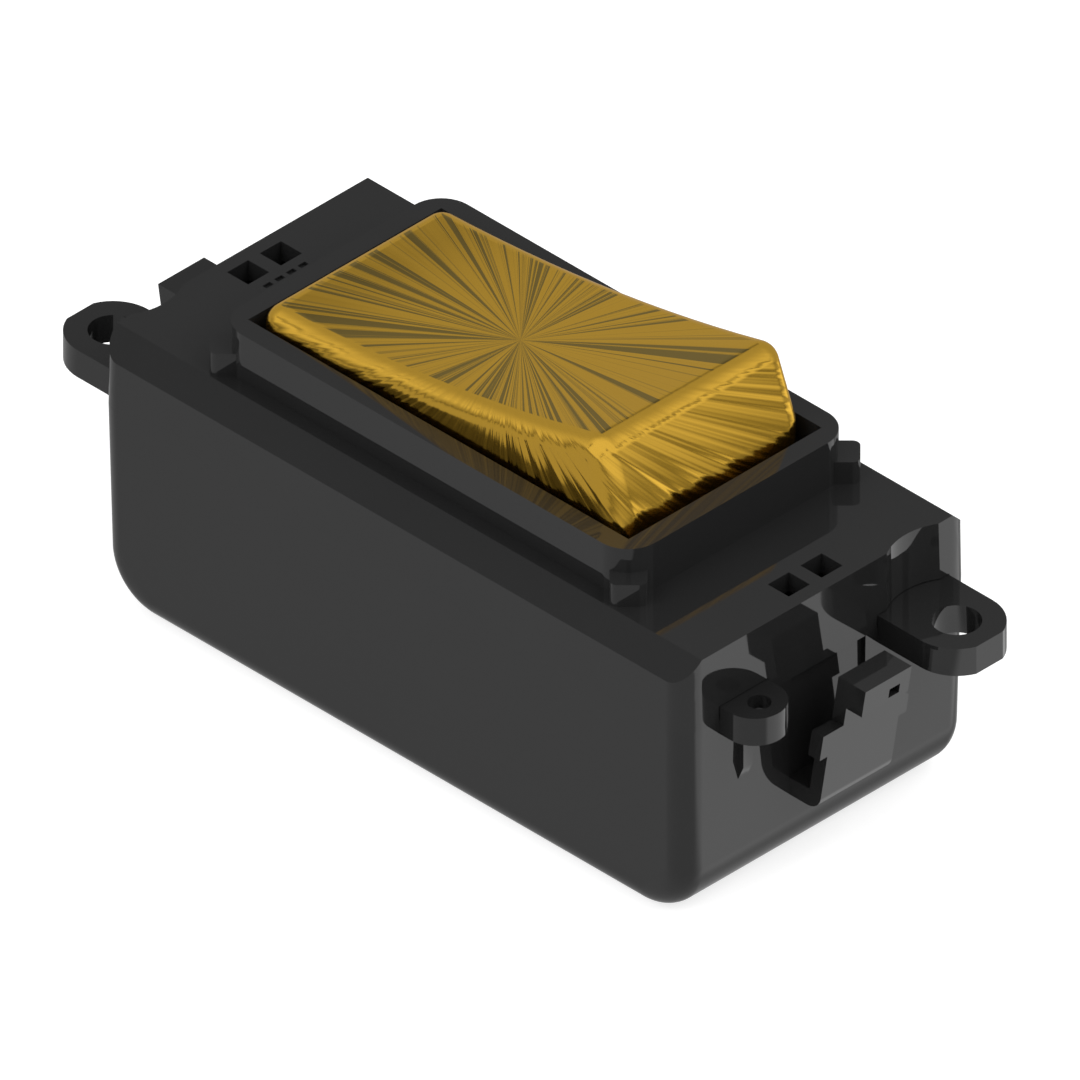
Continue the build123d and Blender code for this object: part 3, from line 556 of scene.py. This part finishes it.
def pin_corner(name, inset_mm):
    """Top corner of a chip on the -X -Y side, moved in by inset_mm."""
    low, high = box_of(name)
    return (float(low[0]) + inset_mm * mm, float(low[1]) + inset_mm * mm, float(high[2]))


# the board: the only green, under everything else
wear(["circuit_board"], solder_mask("green_solder_mask"))
# two resin blocks: the dullest black of all
for chip in ("transmitter_chip", "rectifier"):
    wear([chip], chip_resin("moulded_resin_" + chip, pin_corner(chip, inset_mm=0.7), dimple_mm=0.6))
# ferrite: dark and grainy beside the smooth chips
wear(["choke"], sintered_ferrite("sintered_ferrite"))
print("board, chips and choke dressed")

# %% [markdown]
# ## A coil wound in wire
# In CAD the winding is a plain block. Its real surface is a layer of enamelled wire, one turn
# beside the next. The wire's centre line goes round a rounded square while it moves along the
# bobbin: at angle a its distance from the axis is h / (|cos a|^n + |sin a|^n)^(1/n), where h is
# half the side and n sets how square it is. A sleeve under the wire stands for the layers below,
# and it leaves the bobbin's tube free.

# %% Wire turns
coil_low, coil_high = box_of("coil_winding")
coil_centre = (coil_low + coil_high) / 2
coil_half = (coil_high[1] - coil_low[1]) / 2
wire_radius = 0.14 * mm
sleeve_depth = 1.6 * wire_radius
squareness = 6.0
turn_samples = 56
ring_samples = 8
tube_half_y, tube_half_z = 2.17 * mm, 1.67 * mm
never_zero = 1e-6


def squircle(angle, half):
    """Distance from the axis to a rounded square of the given half side."""
    power = np.abs(np.cos(angle)) ** squareness + np.abs(np.sin(angle)) ** squareness
    return half / power ** (1 / squareness)


def round_axis(x, radius, angle):
    """Points (x, radius cos a, radius sin a) about the coil's own axis."""
    y = coil_centre[1] + radius * np.cos(angle)
    z = coil_centre[2] + radius * np.sin(angle)
    return np.stack(np.broadcast_arrays(x, y, z), axis=-1)


def grid_faces(rows, columns):
    """Quads of a grid whose columns close on themselves."""
    row, column = np.meshgrid(np.arange(rows - 1), np.arange(columns), indexing="ij")
    here = row * columns + column
    side = row * columns + (column + 1) % columns
    return np.stack([here, side, side + columns, here + columns], axis=-1).reshape(-1, 4)


def wire_turns():
    """Swept ring: centre(a) = (x(a), r(a) cos a, r(a) sin a), ring = wire_radius (cos b, sin b)."""
    length = coil_high[0] - coil_low[0] - 2 * wire_radius
    turns = int(length / (2 * wire_radius))
    angle = np.linspace(0, 2 * np.pi * turns, turns * turn_samples + 1)[:, None]
    around = np.arange(ring_samples) * 2 * np.pi / ring_samples
    x = coil_low[0] + wire_radius + length * angle / angle[-1] + wire_radius * np.sin(around)
    radius = squircle(angle, coil_half - wire_radius) + wire_radius * np.cos(around)
    points = round_axis(x, radius, angle)
    return points.reshape(-1, 3), grid_faces(len(angle), ring_samples), turns


def sleeve():
    """Closed ring of revolution, squared: the profile goes out, along, in and back."""
    angle = np.arange(turn_samples) * 2 * np.pi / turn_samples
    outer = squircle(angle, coil_half - sleeve_depth)
    tube = np.minimum(
        tube_half_y / np.maximum(np.abs(np.cos(angle)), never_zero),
        tube_half_z / np.maximum(np.abs(np.sin(angle)), never_zero),
    )
    left, right = coil_low[0], coil_high[0]
    profile = [(left, tube), (left, outer), (right, outer), (right, tube), (left, tube)]
    points = np.stack([round_axis(x, radius, angle) for x, radius in profile])
    return points.reshape(-1, 3), grid_faces(len(profile), turn_samples)


def outward(mesh):
    """Turn every face's normal outwards."""
    work = bmesh.new()
    work.from_mesh(mesh)
    bmesh.ops.recalc_face_normals(work, faces=work.faces)
    work.to_mesh(mesh)
    work.free()


wire_points, wire_faces, turn_count = wire_turns()
sleeve_points, sleeve_faces = sleeve()
coil_mesh = bpy.data.meshes.new("wound_coil")
coil_points = np.concatenate([wire_points, sleeve_points])
coil_faces = np.concatenate([wire_faces, sleeve_faces + len(wire_points)])
coil_mesh.from_pydata(coil_points.tolist(), [], coil_faces.tolist())
outward(coil_mesh)
coil_mesh.polygons.foreach_set("use_smooth", np.ones(len(coil_mesh.polygons), bool))
wound_coil = bpy.data.objects.new("wound_coil", coil_mesh)
bpy.context.scene.collection.objects.link(wound_coil)
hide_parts("coil_winding")
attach(wound_coil, "housing")
print("turns:", turn_count, "faces:", len(coil_mesh.polygons))

# %% [markdown]
# ## Enamel on the wire
# Winding wire has a thin clear enamel with a reddish tint over the copper. A clear coat gives the
# gloss, and a noise that is short across the turns and long round them sets each turn apart.

# %% Enamelled copper
enamel_dark, enamel_light = "#8a3f1c", "#b8602f"
one_turn = (1.0, 20.0, 20.0)


def enamelled_copper(name):
    """Copper under a reddish enamel that varies from turn to turn."""
    material, tree, shader = new_material(name, Metallic=0.7, Coat_Weight=0.6)
    place = place_in(tree)
    turn = noise(tree, place, 2 * wire_radius / mm, 1.0, one_turn)
    stain = noise(tree, place, 1.0, 2.0)
    finish_with(
        tree,
        shader,
        Base_Color=blend(tree, turn, linear(enamel_dark), linear(enamel_light)),
        Roughness=mapped(tree, stain, *middle_of_noise, 0.2, 0.32),
        Normal=bump(tree, stain, 0.002),
    )
    return material


# enamelled wire: fine red-brown lines, the richest colour inside the case
winding_copper = enamelled_copper("enamelled_copper_wire")
coil_mesh.materials.append(winding_copper)
wear(["coil_winding"], winding_copper)
print("coil is enamelled copper")

# %% [markdown]
# ## Paper under the object
# The camera sees white paper with a faint soft shadow, which takes a glow on top of grey paper.
# Gloss sees something else: in a product picture the plastic mirrors paper that is lit on one
# side and falls off on the other. Here that light is painted: a glow that only reflections see,
# bright beyond the end wall and dim elsewhere as painted shade where the object's shadow would
# fall. The end wall mirrors the bright glow and the long wall the painted shade.

# %% Studio floor
floor_reach = 2.0
floor_drop = 0.05 * mm
# where the paper's painted bright glow begins, and where the glow fades with the distance
bright_from_x = (25.2 * mm, 28 * mm)
bright_from_y = (-12 * mm, -6 * mm)
paper_end = (80 * mm, 500 * mm)
# glow seen in reflections: dim as painted shade, and bright as painted light beyond the end wall
paper_light, bright_light = 0.42, 1.0
paper_dark, paper_pale = "#b9b9b9", "#bbbbbb"
paper_grain_mm = 0.8
paper_glow = 0.72


def lit_floor(name):
    """White floor for the camera with a soft shadow; a painted graded glow for reflections, bright
    beyond the end wall and dim elsewhere as painted shade.
    """
    material, tree, shader = new_material(name)
    tree.nodes.remove(shader)
    path = add_node(tree, "LightPath").outputs
    place = place_in(tree)
    parts = add_node(tree, "SeparateXYZ", {"Vector": place}).outputs
    end_side = mapped(tree, parts["X"], *bright_from_x)
    far_side = mapped(tree, parts["Y"], *bright_from_y)
    beside = maths(tree, "MULTIPLY", end_side, far_side)
    near = mapped(tree, measured(tree, "LENGTH", place), *paper_end, 1.0, 0.0)
    lit = maths(tree, "MULTIPLY", beside, near)
    # painted light: a glow that only reflections see, bright beyond the end wall and dim elsewhere as
    # painted shade
    strength = maths(tree, "MULTIPLY_ADD", lit, bright_light - paper_light, paper_light)
    reflected = add_node(tree, "Emission", {"Strength": strength}).outputs[0]
    grey = blend(tree, noise(tree, place, paper_grain_mm, 2.0), linear(paper_dark), linear(paper_pale))
    paper = add_node(tree, "BsdfDiffuse", {"Color": grey}).outputs[0]
    glow = add_node(tree, "Emission", {"Strength": paper_glow}).outputs[0]
    seen = add_node(tree, "AddShader", {0: paper, 1: glow}).outputs[0]
    by_camera = add_node(tree, "MixShader", {"Fac": path["Is Camera Ray"], 1: paper, 2: seen}).outputs[0]
    by_gloss = add_node(tree, "MixShader", {"Fac": path["Is Glossy Ray"], 1: by_camera, 2: reflected})
    tree.links.new(by_gloss.outputs[0], tree.nodes["Material Output"].inputs["Surface"])
    return material


ends = ((-1, -1), (1, -1), (1, 1), (-1, 1))
corners = [(x * floor_reach, y * floor_reach, -floor_drop) for x, y in ends]
floor_mesh = bpy.data.meshes.new("floor")
floor_mesh.from_pydata(corners, [], [(0, 1, 2, 3)])
floor = bpy.data.objects.new("floor", floor_mesh)
bpy.context.scene.collection.objects.link(floor)
floor_mesh.materials.append(lit_floor("studio_paper"))
print("floor", floor_reach * 2, "m square")

# %% [markdown]
# ## The room
# The cap mirrors the room, so the room is lit for it. The far side, which the dish mirrors, is
# dim and even, and the dish keeps one colour from end to end. The near side goes from dark at the
# horizon to bright above, which is what the relief on the cap's sides picks up as streaks. Four
# small dark flags hang where flat plates and chamfers mirror them. Smooth plastic sees only the
# flag, and brushed gold blurs it away: so the plate is a deeper grey than the gold is bright.

# %% World
sky_light = 0.49
flag_light = 0.25
# the near side: its light low and high, the heights between them, and its edge to the far side
low_light, high_light = 0.12, 0.95
graded_sky = (math.sin(math.radians(-3)), math.sin(math.radians(26)))
graded_way = Vector((1, -1, 0)).normalized()
graded_edge = (math.cos(math.radians(125)), math.cos(math.radians(85)))
flag_way = Vector((1, 1, 1)).normalized()
flag_edge = (math.cos(math.radians(7)), math.cos(math.radians(4)))


def studio_world():
    """White behind the object and for its ambient light; for gloss a dim room with a graded side."""
    world = bpy.data.worlds.new("studio")
    world.use_nodes = True
    tree = world.node_tree
    tree.nodes.clear()
    direction = add_node(tree, "TexCoord").outputs["Generated"]
    height = add_node(tree, "SeparateXYZ", {"Vector": direction}).outputs["Z"]
    graded = mapped(tree, height, *graded_sky, low_light - sky_light, high_light - sky_light)
    side = mapped(tree, measured(tree, "DOT_PRODUCT", direction, graded_way), *graded_edge)
    sky = maths(tree, "MULTIPLY_ADD", side, graded, sky_light)
    folded = vectors(tree, "ABSOLUTE", direction)
    flag = mapped(tree, measured(tree, "DOT_PRODUCT", folded, flag_way), *flag_edge)
    darker = maths(tree, "SUBTRACT", flag_light, sky)
    room = add_node(tree, "Background", {"Strength": maths(tree, "MULTIPLY_ADD", flag, darker, sky)})
    white = add_node(tree, "Background", {"Strength": 1.0})
    gloss = add_node(tree, "LightPath").outputs["Is Glossy Ray"]
    inputs = {"Fac": gloss, 1: white.outputs[0], 2: room.outputs[0]}
    by_gloss = add_node(tree, "MixShader", inputs).outputs[0]
    add_node(tree, "OutputWorld", {"Surface": by_gloss})
    bpy.context.scene.world = world


studio_world()
bpy.context.scene.view_settings.view_transform = "Standard"
print("white studio world")

# %% [markdown]
# ## Two soft boxes
# The key stands behind on the right and lights the end wall a little more than the long one. The
# fill keeps the long side's colour alive. Neither is mirrored, because the plastic's reflections
# are all paper and room.

# %% Lamps
lamp_distance = 0.6


def soft_box(name, azimuth, elevation, side, watts):
    """Square area lamp aimed at the middle; azimuth in degrees from +X towards +Y."""
    lamp = bpy.data.lights.new(name, "AREA")
    lamp.energy = watts
    lamp.size = side
    box = bpy.data.objects.new(name, lamp)
    a, e = math.radians(azimuth), math.radians(elevation)
    way = Vector((math.cos(a) * math.cos(e), math.sin(a) * math.cos(e), math.sin(e)))
    box.location = way * lamp_distance
    box.rotation_euler = way.to_track_quat("Z", "Y").to_euler()
    box.visible_camera = False
    box.visible_glossy = False
    bpy.context.scene.collection.objects.link(box)


soft_box("key", azimuth=20, elevation=50, side=0.35, watts=1.3)
soft_box("fill", azimuth=-100, elevation=40, side=0.4, watts=1.2)
print("two soft boxes")

# %% [markdown]
# ## The camera
# The portrait is a parallel isometric view: the camera looks along (-1, 1, -1), so the three axes
# are foreshortened alike. The frame's width follows from how many picture dots one millimetre
# takes.

# %% Camera
picture_px = 1080
px_per_mm = 16.55
camera_distance = 0.4
view_way = Vector((1, -1, 1)).normalized()
aim = Vector((0.463, -0.024, 10.78)) * mm
camera_data = bpy.data.cameras.new("camera")
camera_data.type = "ORTHO"
camera_data.ortho_scale = picture_px / px_per_mm * mm
camera = bpy.data.objects.new("camera", camera_data)
camera.location = aim + view_way * camera_distance
camera.rotation_euler = view_way.to_track_quat("Z", "Y").to_euler()
bpy.context.scene.collection.objects.link(camera)
bpy.context.scene.camera = camera
print("camera frame is", round(camera_data.ortho_scale / mm, 1), "mm wide")

# %% [markdown]
# ## The end

# %% End
print("end of the script")
